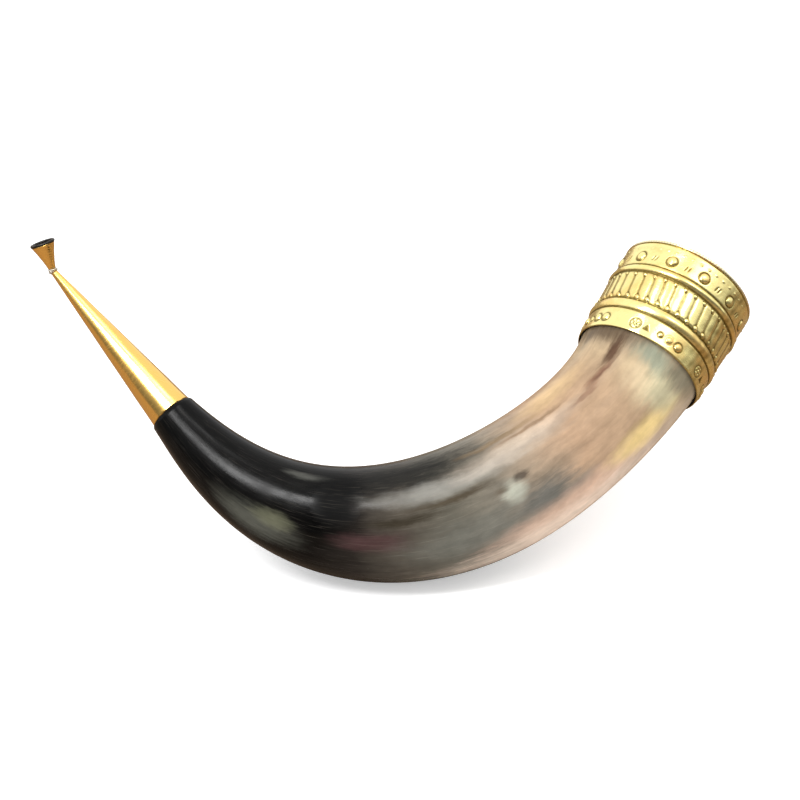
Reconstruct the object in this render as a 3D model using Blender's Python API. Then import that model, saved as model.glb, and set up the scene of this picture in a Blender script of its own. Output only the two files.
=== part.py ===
"""A blowing horn: a curved, hollow ox horn with a brass collar round its bell and a long brass mouthpiece.

Run it with  blender --background --python part.py , or from Blender's text editor.

The horn's centreline starts at the tip, where the mouthpiece plugs in, and ends at the collar. At each
point it has a heading, which is its slope in the plane of the bend, and a lean, which is how far that
plane is tipped back from upright. The bell end, the mouthpiece and the cup each hang on an empty whose
Z axis is their own axis, so they follow when the horn's length or bend is changed.
All sizes are in metres and all angles in degrees.
"""

import math

import bmesh
import bpy
import numpy as np
from mathutils import Matrix, Vector

# Clearance that is kept between pieces that touch.
GAP = 0.0003

# The horn's curved stretch, from the tip face to the collar's edge.
HORN_LENGTH = 0.360
HEADINGS = (-49.8, -32.7, -3.1, 23.2, 40.8, 59.2)
TIP_LEAN = 42.0
BELL_LEAN = 57.0
TIP_RADIUS = 0.0154
BELL_RADIUS = 0.0414
BELLY_RADII = (0.0268, 0.0362, 0.0401, 0.0392)
TIP_ROUNDING = 0.0014

# The straight stretch under the collar, and the hollow inside.
BELL_LENGTH = 0.0680
BELL_FLARE = 0.0024
BELL_WALL = 0.0040
CAVITY_START = 0.28
CAVITY_SWELL = 3.0
BORE_RADIUS = 0.0060
BORE_START = 0.14

# The collar: bedding, sheet, two ribs (middle and half width along the collar) and the rim.
BEDDING_THICKNESS = 0.0006
BEDDING_INSET = 0.0025
SHEET = 0.0009
RIB_HEIGHT = 0.0013
LOWER_RIB = (0.0190, 0.0036)
UPPER_RIB = (0.0478, 0.0026)
TURN_IN_DEPTH = 0.0060
RIM_WIDTH = 0.0027
RIM_HEIGHT = 0.0020
RIM_CORNER = 0.0008

# The nails that hold the collar.
NAIL_COUNT = 4
NAIL_HEIGHT = 0.0066
NAIL_TURN = 19.5
NAIL_SHANK_RADIUS = 0.0008
NAIL_HEAD_RADIUS = 0.0026
NAIL_HEAD_HEIGHT = 0.0012
NAIL_BITE = 0.0028

# The mouthpiece.
CONE_LENGTH = 0.1200
CONE_BASE_RADIUS = 0.0143
NECK_RADIUS = 0.0023
CONE_WALL = 0.0007
TENON_LENGTH = 0.0260
TENON_RADIUS = 0.0086
TENON_WALL = 0.0009
TENON_COLLAR_WIDTH = 0.0020
TENON_COLLAR_HEIGHT = 0.0010
SOCKET_DEPTH = 0.0280
CORK_THICKNESS = 0.0018
CORK_LENGTH = 0.0200
CORK_TOP = 0.0030
CUP_CANT = 32.0
CUP_CANT_TURN = -145.0
ELBOW_BEND_RADIUS = 0.0052
ELBOW_SWELL = 0.0007
CUP_LENGTH = 0.0160
CUP_NECK_RADIUS = 0.0026
CUP_MOUTH_RADIUS = 0.0077
CUP_WALL = 0.0007
CUP_FLARE_POWER = 1.25
LIP_WIDTH = 0.0022
LIP_HEIGHT = 0.0018
LIP_CORNER = 0.0006

# How finely the round shapes are divided.
HORN_SIDES = 32
HORN_RINGS = 30
COLLAR_SIDES = 64
MOUTHPIECE_SIDES = 32
SMALL_SIDES = 16
SMOOTH_ANGLE = math.radians(35)


def clear_scene():
    for old in list(bpy.data.objects):
        bpy.data.objects.remove(old, do_unlink=True)


def material(name, colour, roughness, metallic):
    made = bpy.data.materials.new(name)
    made.use_nodes = True
    shader = made.node_tree.nodes["Principled BSDF"]
    shader.inputs["Base Color"].default_value = (*colour, 1.0)
    shader.inputs["Roughness"].default_value = roughness
    shader.inputs["Metallic"].default_value = metallic
    return made


def add_object(name, bm, parent, finish):
    """Turns a bmesh into an object under a parent, shaded smooth except at its sharp edges."""
    bmesh.ops.remove_doubles(bm, verts=bm.verts, dist=1e-7)
    bmesh.ops.recalc_face_normals(bm, faces=bm.faces)
    mesh = bpy.data.meshes.new(name)
    bm.to_mesh(mesh)
    bm.free()
    mesh.shade_smooth()
    mesh.set_sharp_from_angle(angle=SMOOTH_ANGLE)
    mesh.materials.append(finish)
    made = bpy.data.objects.new(name, mesh)
    bpy.context.collection.objects.link(made)
    made.parent = parent
    return made


def add_empty(name, parent, matrix):
    made = bpy.data.objects.new(name, None)
    bpy.context.collection.objects.link(made)
    made.parent = parent
    made.matrix_local = matrix
    return made


def turned(profile, sides, hollow=True):
    """Spins a profile of (radius, height) points about Z. A hollow piece's profile closes on itself."""
    bm = bmesh.new()
    verts = [bm.verts.new((radius, 0.0, height)) for radius, height in profile]
    edges = [bm.edges.new((a, b)) for a, b in zip(verts, verts[1:])]
    if hollow:
        edges.append(bm.edges.new((verts[-1], verts[0])))
    bmesh.ops.spin(bm, geom=verts + edges, cent=(0, 0, 0), axis=(0, 0, 1),
                   angle=math.tau, steps=sides, use_merge=True)
    return bm


def lofted(rings):
    """Joins rings of points in order, and the last to the first, into one closed skin."""
    bm = bmesh.new()
    loops = [[bm.verts.new(point) for point in points] for points in rings]
    for here, after in zip(loops, loops[1:] + loops[:1]):
        for index, vertex in enumerate(here):
            bm.faces.new((here[index - 1], vertex, after[index], after[index - 1]))
    return bm


def through(values):
    """A smooth curve through values spread evenly from the tip (0) to the collar (1)."""
    stations = np.linspace(0.0, 1.0, len(values))
    return np.polynomial.Polynomial.fit(stations, values, len(values) - 1)


HEADING = through(HEADINGS)
OUTER_RADIUS = through((TIP_RADIUS, *BELLY_RADII, BELL_RADIUS))


def tangent(share):
    """The centreline's direction, towards the bell, at a share of its length."""
    heading = math.radians(HEADING(share))
    lean = math.radians(TIP_LEAN + (BELL_LEAN - TIP_LEAN) * share)
    rise = math.sin(heading)
    return Vector((math.cos(heading), rise * math.sin(lean), rise * math.cos(lean)))


def across(share):
    """The direction square to the plane of the bend, which is also square to the tangent."""
    lean = math.radians(TIP_LEAN + (BELL_LEAN - TIP_LEAN) * share)
    return Vector((0.0, math.cos(lean), -math.sin(lean)))


def centreline(shares, steps=400):
    """Points of the centreline from the tip: its direction added up in small steps."""
    fine = np.linspace(0.0, 1.0, steps + 1)
    middles = (fine[1:] + fine[:-1]) / 2
    strides = np.array([tangent(share) for share in middles]) * HORN_LENGTH / steps
    walked = np.vstack([np.zeros(3), np.cumsum(strides, axis=0)])
    return [Vector([np.interp(share, fine, walked[:, axis]) for axis in range(3)]) for share in shares]


def axis_frame(origin, axis, side):
    """A matrix at an origin whose Z axis is the given axis and whose X axis is the given side."""
    z = axis.normalized()
    x = side.normalized()
    y = z.cross(x)
    matrix = Matrix((x, y, z)).transposed().to_4x4()
    matrix.translation = origin
    return matrix


def ring(centre, direction, side, radius, sides):
    """A circle of points round a centre, square to a direction, starting at a side."""
    up = direction.cross(side)
    turns = [math.tau * index / sides for index in range(sides)]
    return [centre + (math.cos(turn) * side + math.sin(turn) * up) * float(radius) for turn in turns]


def bell_radius(height):
    """The horn's outer radius at a height above the collar's lower edge."""
    return BELL_RADIUS + BELL_FLARE * height / BELL_LENGTH


def cavity_radius(share):
    """The natural hollow: it opens from the drilled bore and swells towards the bell."""
    swell = 1 - (1 - (share - CAVITY_START) / (1 - CAVITY_START)) ** CAVITY_SWELL
    return BORE_RADIUS + (OUTER_RADIUS(share) - BELL_WALL - BORE_RADIUS) * swell


def socket_radius():
    return TENON_RADIUS + GAP + CORK_THICKNESS + GAP


def nail_cutter(parent, reach_in):
    """One guide object with a radial rod for each nail, which drills the pieces it passes through."""
    bm = bmesh.new()
    radius = bell_radius(NAIL_HEIGHT)
    inner = radius - reach_in
    outer = radius + 4 * (BEDDING_THICKNESS + SHEET)
    for place in nail_places():
        rod = bmesh.ops.create_cone(bm, cap_ends=True, segments=SMALL_SIDES // 2, depth=outer - inner,
                                    radius1=NAIL_SHANK_RADIUS + GAP, radius2=NAIL_SHANK_RADIUS + GAP)
        lift = Matrix.Translation((0, 0, (outer + inner) / 2))
        bmesh.ops.transform(bm, matrix=place @ lift, verts=rod["verts"])
    cutter = add_object("nail_hole_guide", bm, parent, bpy.data.materials["Steel"])
    cutter.hide_render = True
    cutter.display_type = "WIRE"
    return cutter


def nail_places():
    """The matrices that stand a nail's Z axis out from the collar's axis, evenly spread."""
    lift = Matrix.Translation((0, 0, NAIL_HEIGHT))
    lay_down = Matrix.Rotation(math.radians(90), 4, "Y")
    turns = [math.radians(NAIL_TURN + 360 * index / NAIL_COUNT) for index in range(NAIL_COUNT)]
    return [lift @ Matrix.Rotation(turn, 4, "Z") @ lay_down for turn in turns]


def drill(piece, cutter):
    cut = piece.modifiers.new("nail holes", "BOOLEAN")
    cut.operation = "DIFFERENCE"
    cut.object = cutter


def build_horn_shell(root, cutter, finish):
    """The horn: outer skin, bell edge, hollow, drilled bore and the socket for the tenon."""
    shares = np.linspace(0.0, 1.0, HORN_RINGS)
    points = centreline(shares)
    rings = [ring(points[0], tangent(0), across(0), TIP_RADIUS - TIP_ROUNDING, HORN_SIDES)]
    for share, point in zip(shares, points):
        radius = OUTER_RADIUS(share)
        if share == 0:
            point = point + tangent(0) * TIP_ROUNDING
        rings.append(ring(point, tangent(share), across(share), radius, HORN_SIDES))

    bell, side = tangent(1), across(1)
    end = points[-1] + bell * BELL_LENGTH
    rings.append(ring(end, bell, side, bell_radius(BELL_LENGTH), HORN_SIDES))
    rings.append(ring(end, bell, side, bell_radius(BELL_LENGTH) - BELL_WALL, HORN_SIDES))

    inside = np.linspace(1.0, CAVITY_START, HORN_RINGS * 2 // 3)
    for share, point in zip(inside, centreline(inside)):
        rings.append(ring(point, tangent(share), across(share), cavity_radius(share), HORN_SIDES))
    drilled = np.linspace(CAVITY_START, BORE_START, 6)[1:]
    for share, point in zip(drilled, centreline(drilled)):
        rings.append(ring(point, tangent(share), across(share), BORE_RADIUS, HORN_SIDES))
    for depth, radius in ((SOCKET_DEPTH, BORE_RADIUS), (SOCKET_DEPTH, socket_radius()), (0, socket_radius())):
        rings.append(ring(points[0] + tangent(0) * depth, tangent(0), across(0), radius, HORN_SIDES))

    horn = add_object("horn_shell", lofted(rings), root, finish)
    drill(horn, cutter)
    return horn


def bell_throat(height):
    """The largest radius that fits inside the horn's flat-sided hollow at a height under the collar."""
    return (bell_radius(height) - BELL_WALL) * math.cos(math.pi / HORN_SIDES) - GAP


def collar_inner(height):
    """The inside of the collar's sheet, outside the bedding."""
    return bell_radius(height) + GAP + BEDDING_THICKNESS + GAP


def rib_rise(height, rib):
    """A rounded rib's rise: a half wave across its width."""
    middle, half = rib
    off = (height - middle) / half
    return RIB_HEIGHT * math.cos(off * math.pi / 2) if abs(off) < 1 else 0.0


def build_collar(bell, cutter, finish):
    """The brass collar: a flared sleeve with two ribs whose top is turned in over the horn's edge."""
    heights = [0.0]
    for middle, half in (LOWER_RIB, UPPER_RIB):
        heights += [middle + half * share for share in (-1, -0.5, 0, 0.5, 1)]
    top = BELL_LENGTH + GAP + SHEET
    outer = [(collar_inner(height) + SHEET + rib_rise(height, LOWER_RIB) + rib_rise(height, UPPER_RIB), height)
             for height in heights]
    outer.append((collar_inner(top) + SHEET, top))
    hem = BELL_LENGTH - TURN_IN_DEPTH
    turned_in = [(bell_throat(BELL_LENGTH) - SHEET, top),
                 (bell_throat(hem) - SHEET, hem),
                 (bell_throat(hem), hem),
                 (bell_throat(BELL_LENGTH), BELL_LENGTH + GAP)]
    inner = [(collar_inner(BELL_LENGTH + GAP), BELL_LENGTH + GAP), (collar_inner(0), 0.0)]
    collar = add_object("bell_collar", turned(outer + turned_in + inner, COLLAR_SIDES), bell, finish)
    drill(collar, cutter)
    return collar


def build_bedding(bell, cutter, finish):
    """The pitch that beds the collar on the horn, a thin sleeve that stops short of both edges."""
    low, high = BEDDING_INSET, BELL_LENGTH - BEDDING_INSET
    profile = [(bell_radius(low) + GAP + BEDDING_THICKNESS, low),
               (bell_radius(high) + GAP + BEDDING_THICKNESS, high),
               (bell_radius(high) + GAP, high),
               (bell_radius(low) + GAP, low)]
    bedding = add_object("collar_bedding", turned(profile, COLLAR_SIDES), bell, finish)
    drill(bedding, cutter)
    return bedding


def flat_bead(outer, width, bottom, height, corner, steps=3):
    """A ring's section: flat underneath and on top, with both upper corners rounded."""
    inner = outer - width
    points = [(inner, bottom), (outer, bottom)]
    for middle, start in ((outer - corner, 0.0), (inner + corner, 90.0)):
        for step in range(steps + 1):
            turn = math.radians(start + 90 * step / steps)
            points.append((middle + corner * math.cos(turn), bottom + height - corner + corner * math.sin(turn)))
    return points


def build_rim(bell, finish):
    """The rim: a bead soldered on the collar's turned-in top, with a flat that the horn can stand on."""
    bottom = BELL_LENGTH + GAP + SHEET + GAP
    outer = collar_inner(BELL_LENGTH) + SHEET
    profile = flat_bead(outer, RIM_WIDTH, bottom, RIM_HEIGHT, RIM_CORNER)
    return add_object("bell_rim_ring", turned(profile, COLLAR_SIDES), bell, finish)


def build_nails(bell, finish):
    """Domed brass nails through the collar and its bedding into the horn's wall."""
    seat = collar_inner(NAIL_HEIGHT) + SHEET + GAP
    tip = bell_radius(NAIL_HEIGHT) - NAIL_BITE
    dome = [math.radians(90 * step / 3) for step in range(3)]
    profile = [(NAIL_SHANK_RADIUS, tip), (NAIL_SHANK_RADIUS, seat)]
    profile += [(NAIL_HEAD_RADIUS * math.cos(turn), seat + NAIL_HEAD_HEIGHT * math.sin(turn)) for turn in dome]
    profile = [(0.0, tip), *profile, (0.0, seat + NAIL_HEAD_HEIGHT)]
    for index, place in enumerate(nail_places(), start=1):
        nail = add_object(f"collar_nail_{index}", turned(profile, SMALL_SIDES, hollow=False), bell, finish)
        nail.matrix_local = place


def build_cone(mouth, finish):
    """The long brass cone: thin sheet, open at the neck, its base turned in round the tenon."""
    hole = TENON_RADIUS + GAP
    profile = [(CONE_BASE_RADIUS, GAP), (NECK_RADIUS, CONE_LENGTH), (NECK_RADIUS - CONE_WALL, CONE_LENGTH),
               (CONE_BASE_RADIUS - 2 * CONE_WALL, GAP + CONE_WALL), (hole, GAP + CONE_WALL), (hole, GAP)]
    return add_object("mouthpiece_cone", turned(profile, MOUTHPIECE_SIDES), mouth, finish)


def build_tenon(mouth, finish):
    """The tube that plugs into the horn, with a collar that rests on the cone's turned-in base."""
    seat = GAP + CONE_WALL + GAP
    top = seat + TENON_COLLAR_HEIGHT
    collar = TENON_RADIUS + TENON_COLLAR_WIDTH
    bore = TENON_RADIUS - TENON_WALL
    profile = [(TENON_RADIUS, -TENON_LENGTH), (TENON_RADIUS, seat), (collar, seat), (collar, top),
               (bore, top), (bore, -TENON_LENGTH)]
    return add_object("tenon_tube", turned(profile, MOUTHPIECE_SIDES), mouth, finish)


def build_cork(mouth, finish):
    """The cork sleeve on the tenon, which grips the socket."""
    inner = TENON_RADIUS + GAP
    outer = inner + CORK_THICKNESS
    profile = [(outer, -CORK_TOP - CORK_LENGTH), (outer, -CORK_TOP), (inner, -CORK_TOP),
               (inner, -CORK_TOP - CORK_LENGTH)]
    return add_object("tenon_cork", turned(profile, MOUTHPIECE_SIDES), mouth, finish)


def elbow_step(share):
    """The place and direction along the solder elbow, from the cone's neck to the cup's neck."""
    bend = math.radians(CUP_CANT) * share
    aside = ELBOW_BEND_RADIUS * (1 - math.cos(bend))
    along = ELBOW_BEND_RADIUS * math.sin(bend)
    return Vector((aside, 0.0, CONE_LENGTH + GAP + along)), Vector((math.sin(bend), 0.0, math.cos(bend)))


def build_elbow(mouth, finish):
    """The solder that joins the canted cup to the cone: a short bent tube, fullest in its middle."""
    side = Vector((0.0, 1.0, 0.0))
    bore = NECK_RADIUS - CONE_WALL
    outside, inside = [], []
    for share in np.linspace(0.0, 1.0, 7):
        place, direction = elbow_step(share)
        neck = NECK_RADIUS + (CUP_NECK_RADIUS - NECK_RADIUS) * share
        outside.append(ring(place, direction, side, neck + ELBOW_SWELL * math.sin(math.pi * share), SMALL_SIDES))
        inside.insert(0, ring(place, direction, side, bore, SMALL_SIDES))
    elbow = add_object("neck_solder", lofted(outside + inside), mouth, finish)
    elbow.matrix_local = Matrix.Rotation(math.radians(CUP_CANT_TURN), 4, "Z")
    return elbow


def cup_frame(mouth):
    """The empty at the cup's neck, past the solder, with Z towards the lips."""
    place, direction = elbow_step(1.0)
    matrix = axis_frame(place + direction * GAP, direction, Vector((0.0, 1.0, 0.0)))
    return add_empty("cup_axis", mouth, Matrix.Rotation(math.radians(CUP_CANT_TURN), 4, "Z") @ matrix)


def cup_radius(share):
    """The cup's outside: a funnel whose flare grows towards its mouth."""
    return CUP_NECK_RADIUS + (CUP_MOUTH_RADIUS - CUP_NECK_RADIUS) * share ** CUP_FLARE_POWER


def build_cup(cup, finish):
    """The funnel-shaped cup in thin brass."""
    bore = NECK_RADIUS - CONE_WALL
    shares = np.linspace(0.0, 1.0, 6)
    outside = [(cup_radius(share), CUP_LENGTH * share) for share in shares]
    inside = [(max(cup_radius(share) - CUP_WALL, bore), CUP_LENGTH * share) for share in shares[::-1]]
    return add_object("mouthpiece_cup", turned(outside + inside, MOUTHPIECE_SIDES), cup, finish)


def build_lip(cup, finish):
    """The lip ring on the cup's mouth, with a flat top."""
    profile = flat_bead(CUP_MOUTH_RADIUS + LIP_WIDTH / 4, LIP_WIDTH, CUP_LENGTH + GAP, LIP_HEIGHT, LIP_CORNER)
    return add_object("lip_ring", turned(profile, MOUTHPIECE_SIDES), cup, finish)


def set_down(root):
    """Moves the whole horn so that it stands on z = 0 with its box centred on the Z axis."""
    bpy.context.view_layer.update()
    graph = bpy.context.evaluated_depsgraph_get()
    corners = []
    for piece in bpy.data.objects:
        if piece.type == "MESH" and not piece.hide_render:
            seen = piece.evaluated_get(graph)
            corners += [seen.matrix_world @ vertex.co for vertex in seen.data.vertices]
    corners = np.array(corners)
    low, high = corners.min(axis=0), corners.max(axis=0)
    root.location = (-(low[0] + high[0]) / 2, -(low[1] + high[1]) / 2, -low[2])


def main():
    clear_scene()
    horn = material("Horn", (0.10, 0.075, 0.06), 0.30, 0.0)
    brass = material("Brass", (0.83, 0.62, 0.24), 0.28, 1.0)
    dark_brass = material("Dark brass", (0.06, 0.055, 0.045), 0.40, 1.0)
    solder = material("Solder", (0.55, 0.55, 0.50), 0.45, 1.0)
    pitch = material("Pitch", (0.03, 0.022, 0.018), 0.60, 0.0)
    cork = material("Cork", (0.50, 0.33, 0.19), 0.90, 0.0)
    material("Steel", (0.5, 0.5, 0.5), 0.5, 1.0)

    root = add_empty("horn_place", None, Matrix.Identity(4))
    bell_start = centreline((1.0,))[0]
    bell = add_empty("bell_axis", root, axis_frame(bell_start, tangent(1), across(1)))
    mouth = add_empty("mouthpiece_axis", root, axis_frame(Vector(), -tangent(0), across(0)))
    cup = cup_frame(mouth)

    cutter = nail_cutter(bell, NAIL_BITE + GAP)
    build_horn_shell(root, cutter, horn)
    build_bedding(bell, cutter, pitch)
    build_collar(bell, cutter, brass)
    build_rim(bell, brass)
    build_nails(bell, brass)
    build_cone(mouth, brass)
    build_tenon(mouth, brass)
    build_cork(mouth, cork)
    build_elbow(mouth, solder)
    build_cup(cup, brass)
    build_lip(cup, dark_brass)
    set_down(root)


main()
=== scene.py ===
"""A blowing horn, finished for show: polished ox horn, an embossed brass collar and a long brass mouthpiece.

It is laid out as a Blender add-on and run as a script. Each operator makes one piece, or one group of like
pieces, from the sizes and colours in its settings, and main() calls them in order. All sizes are in metres.
"""

import bpy
import numpy as np
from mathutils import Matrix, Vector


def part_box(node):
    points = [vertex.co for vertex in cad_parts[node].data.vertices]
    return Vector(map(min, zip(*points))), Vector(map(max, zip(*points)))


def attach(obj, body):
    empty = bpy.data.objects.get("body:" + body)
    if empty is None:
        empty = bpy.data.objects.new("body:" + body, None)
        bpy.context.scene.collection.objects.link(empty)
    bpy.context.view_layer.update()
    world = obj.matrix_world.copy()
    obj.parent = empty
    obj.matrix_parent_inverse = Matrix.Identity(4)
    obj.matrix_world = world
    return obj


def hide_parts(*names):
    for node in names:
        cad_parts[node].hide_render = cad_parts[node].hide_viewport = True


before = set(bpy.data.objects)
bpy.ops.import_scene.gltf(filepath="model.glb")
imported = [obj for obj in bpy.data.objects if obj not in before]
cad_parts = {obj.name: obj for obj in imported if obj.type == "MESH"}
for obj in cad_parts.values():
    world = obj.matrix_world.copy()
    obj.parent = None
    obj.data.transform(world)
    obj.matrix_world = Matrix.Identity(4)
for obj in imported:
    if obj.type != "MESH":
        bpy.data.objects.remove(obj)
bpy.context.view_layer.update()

bl_info = {
    "name": "Blowing Horn",
    "version": (1, 0, 0),
    "blender": (4, 5, 0),
    "location": "3D View > Sidebar > Blowing Horn",
    "description": "Makes a brass-mounted ox horn, piece by piece",
    "category": "Add Mesh",
}

# The part's own sizes, which the finished pieces follow.
GAP = 0.0003
HORN_LENGTH = 0.360
HEADINGS = (-49.8, -32.7, -3.1, 23.2, 40.8, 59.2)
TIP_LEAN = 42.0
BELL_LEAN = 57.0
OUTER_RADII = (0.0154, 0.0268, 0.0362, 0.0401, 0.0392, 0.0414)
TIP_ROUNDING = 0.0014
BELL_LENGTH = 0.0680
BELL_FLARE = 0.0024
BELL_WALL = 0.0040
CAVITY_START = 0.28
CAVITY_SWELL = 3.0
BORE_RADIUS = 0.0060
BORE_START = 0.14
PART_SIDES = 32
PART_RINGS = 30
BEDDING_THICKNESS = 0.0006
SHEET = 0.0009
LOWER_RIB = (0.0190, 0.0036)
UPPER_RIB = (0.0478, 0.0026)
TURN_IN_DEPTH = 0.0060
RIM_WIDTH = 0.0027
RIM_HEIGHT = 0.0020
NAIL_COUNT = 4
NAIL_HEIGHT = 0.0066
NAIL_TURN = 19.5
NAIL_SHANK_RADIUS = 0.0008
NAIL_BITE = 0.0028
CONE_LENGTH = 0.1200
CONE_BASE_RADIUS = 0.0143
NECK_RADIUS = 0.0023
CONE_WALL = 0.0007
TENON_LENGTH = 0.0260
TENON_RADIUS = 0.0086
TENON_WALL = 0.0009
TENON_COLLAR_WIDTH = 0.0020
TENON_COLLAR_HEIGHT = 0.0010
SOCKET_DEPTH = 0.0280
CORK_THICKNESS = 0.0018
CORK_LENGTH = 0.0200
CORK_TOP = 0.0030
CUP_CANT = 32.0
CUP_CANT_TURN = -145.0
ELBOW_BEND_RADIUS = 0.0052
ELBOW_SWELL = 0.0007
CUP_LENGTH = 0.0160
CUP_NECK_RADIUS = 0.0026
CUP_MOUTH_RADIUS = 0.0077
CUP_WALL = 0.0007
CUP_FLARE_POWER = 1.25
LIP_WIDTH = 0.0022
LIP_HEIGHT = 0.0018

# The finished skins lie this far inside the part's, which leaves room for their relief.
POLISH = 0.00025
# A small step back from the part's edges, and the size of a softened corner.
EASE = 0.0002
# The radius that the horn's grain is laid out on, so that its pattern has one scale all along.
GRAIN_RADIUS = 0.038
WHITE = (1.0, 1.0, 1.0, 1.0)


# ---------------------------------------------------------------- settings

def size_setting(name, description, default):
    return bpy.props.FloatProperty(name=name, description=description, default=default, unit="LENGTH")


def number_setting(name, description, default, **kind):
    return bpy.props.FloatProperty(name=name, description=description, default=default, **kind)


def count_setting(name, description, default):
    return bpy.props.IntProperty(name=name, description=description, default=default, min=1)


def colour_setting(name, description, default):
    return bpy.props.FloatVectorProperty(
        name=name, description=description, subtype="COLOR", default=default, min=0, max=1)


class HornSettings(bpy.types.PropertyGroup):
    sides: count_setting("Sides", "Points round the horn", 200)
    rings: count_setting("Rings", "Rings along the outside", 300)
    facet_depth: size_setting("Scraping", "Depth of the long flats left by the scraper", 0.00016)
    ridge_depth: size_setting("Growth ridges", "Depth of the fine lengthwise ridges", 0.00002)
    scar_depth: size_setting("Scar", "Depth of the old scar in the belly", 0.0007)
    roughness: number_setting("Roughness", "Roughness of the polished skin", 0.20, min=0, max=1)


class CollarSettings(bpy.types.PropertyGroup):
    sides: count_setting("Sides", "Points round the collar", 540)
    rows: count_setting("Rows", "Rows of points up the collar", 150)
    rib_rise: size_setting("Rib rise", "How far the two ribs stand out", 0.0013)
    boss_radius: size_setting("Lower boss", "Radius of the lower band's bosses", 0.0028)
    boss_rise: size_setting("Boss rise", "How far the bosses stand out", 0.0011)
    lower_count: count_setting("Lower motifs", "Motifs round the lower band", 5)
    column_count: count_setting("Columns", "Columns round the middle band", 38)
    upper_count: count_setting("Upper domes", "Domes round the upper band", 12)
    dome_radius: size_setting("Upper dome", "Radius of the upper band's domes", 0.0034)
    dent_depth: size_setting("Dents", "Depth of the soft unevenness of the sheet", 0.00034)


class MouthpieceSettings(bpy.types.PropertyGroup):
    sides: count_setting("Sides", "Points round the mouthpiece", 128)
    waver: size_setting("Unevenness", "How far the rolled cone strays inwards", 0.00022)
    seam_rise: size_setting("Seam", "Depth of the cone's lengthwise seam", 0.00018)
    lump: number_setting("Solder lumps", "Share by which the solder swells and sinks", 0.13, min=0, max=0.4)


class FinishSettings(bpy.types.PropertyGroup):
    brass: colour_setting("Brass", "Bright brass of the collar", (0.99, 0.86, 0.37))
    pale_brass: colour_setting("Pale brass", "Rubbed brass of the rim", (1.0, 0.90, 0.60))
    golden_brass: colour_setting("Golden brass", "Deeper gold of the mouthpiece", (0.94, 0.60, 0.17))
    brass_deep: colour_setting("Deep brass", "Redder brass where it was heated", (0.92, 0.50, 0.12))
    tarnish: colour_setting("Tarnish", "Brown tarnish in the hollows", (0.16, 0.11, 0.02))
    lip: colour_setting("Lip ring", "Darkened metal of the lip ring", (0.055, 0.052, 0.048))
    solder: colour_setting("Solder", "Dull grey solder", (0.74, 0.72, 0.64))
    cork: colour_setting("Cork", "Cork", (0.47, 0.29, 0.15))
    pitch: colour_setting("Pitch", "Bedding pitch", (0.020, 0.014, 0.010))


class StageSettings(bpy.types.PropertyGroup):
    floor_colour: colour_setting("Floor", "Pale floor", (0.90, 0.90, 0.90))
    floor_mirrored: colour_setting("Mirrored floor", "The floor as brass mirrors it", (0.29, 0.20, 0.13))
    floor_glow: number_setting("Floor glow", "How far the floor is lit from below", 0.38, min=0)
    floor_size: size_setting("Floor size", "Side of the square floor", 30.0)
    camera_elevation: number_setting("Elevation", "Height of the view above level", float(np.radians(30.0)),
                                     subtype="ANGLE")
    camera_distance: size_setting("Distance", "From the camera to its aim", 1.332)
    camera_aim: bpy.props.FloatVectorProperty(
        name="Aim", description="Where the camera points", default=(0.0042, 0.0446, 0.0627), subtype="XYZ",
        unit="LENGTH")
    lens: number_setting("Lens", "Focal length in millimetres", 90.0)
    box_power: number_setting("Soft boxes", "Power of a square metre of a soft box", 20.0, unit="POWER")
    sky_strength: number_setting("Surroundings", "Strength of the white surroundings", 0.92, min=0)


SETTINGS = {
    "horn_settings": HornSettings,
    "collar_settings": CollarSettings,
    "mouthpiece_settings": MouthpieceSettings,
    "finish_settings": FinishSettings,
    "stage_settings": StageSettings,
}


# ---------------------------------------------------------------- shapes

def smooth_step(value, low, high):
    """0 below low, 1 above high, and a smooth cubic between them."""
    share = np.clip((value - low) / (high - low), 0.0, 1.0)
    return share * share * (3 - 2 * share)


def bell_curve(distance, half_width):
    """1 in the middle, falling off as a bell curve of the distance."""
    return np.exp(-(distance / half_width) ** 2)


def angle_from(angle, degrees):
    """The signed angle from a place at so many degrees, the short way round."""
    return np.angle(np.exp(1j * (angle - np.radians(degrees))))


def round_angles(sides):
    """One row of angles, spread evenly round a ring."""
    return np.arange(sides)[None, :] * 2 * np.pi / sides


def all_round(values, sides):
    """One value per ring, carried round all its points."""
    return np.repeat(np.asarray(values, dtype=float)[:, None], sides, axis=1)


def then_plain(rows, count):
    """Rows of relief, with a number of rows of nought after them."""
    return np.concatenate([rows, np.zeros((count, rows.shape[1]))])


def through(values):
    """A polynomial through values spread evenly from the tip (0) to the collar (1)."""
    return np.polynomial.Polynomial.fit(np.linspace(0.0, 1.0, len(values)), values, len(values) - 1)


HEADING = through(HEADINGS)
OUTER_RADIUS = through(OUTER_RADII)


def leaning(share):
    """The lean of the bend: from the tip's to the bell's in even steps, then the same under the collar."""
    return np.radians(TIP_LEAN + (BELL_LEAN - TIP_LEAN) * np.minimum(share, 1.0))


def tangent(share):
    """The centreline's direction: its heading, swung out of the upright by its lean."""
    heading = np.radians(HEADING(np.minimum(share, 1.0)))
    lean = leaning(share)
    swung = np.sin(heading)
    return np.stack([np.cos(heading), swung * np.sin(lean), swung * np.cos(lean)], axis=-1)


def across(share):
    """The direction square to the plane of the bend: the lean turned a right angle."""
    lean = leaning(share)
    return np.stack([np.zeros_like(lean), np.cos(lean), -np.sin(lean)], axis=-1)


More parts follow.
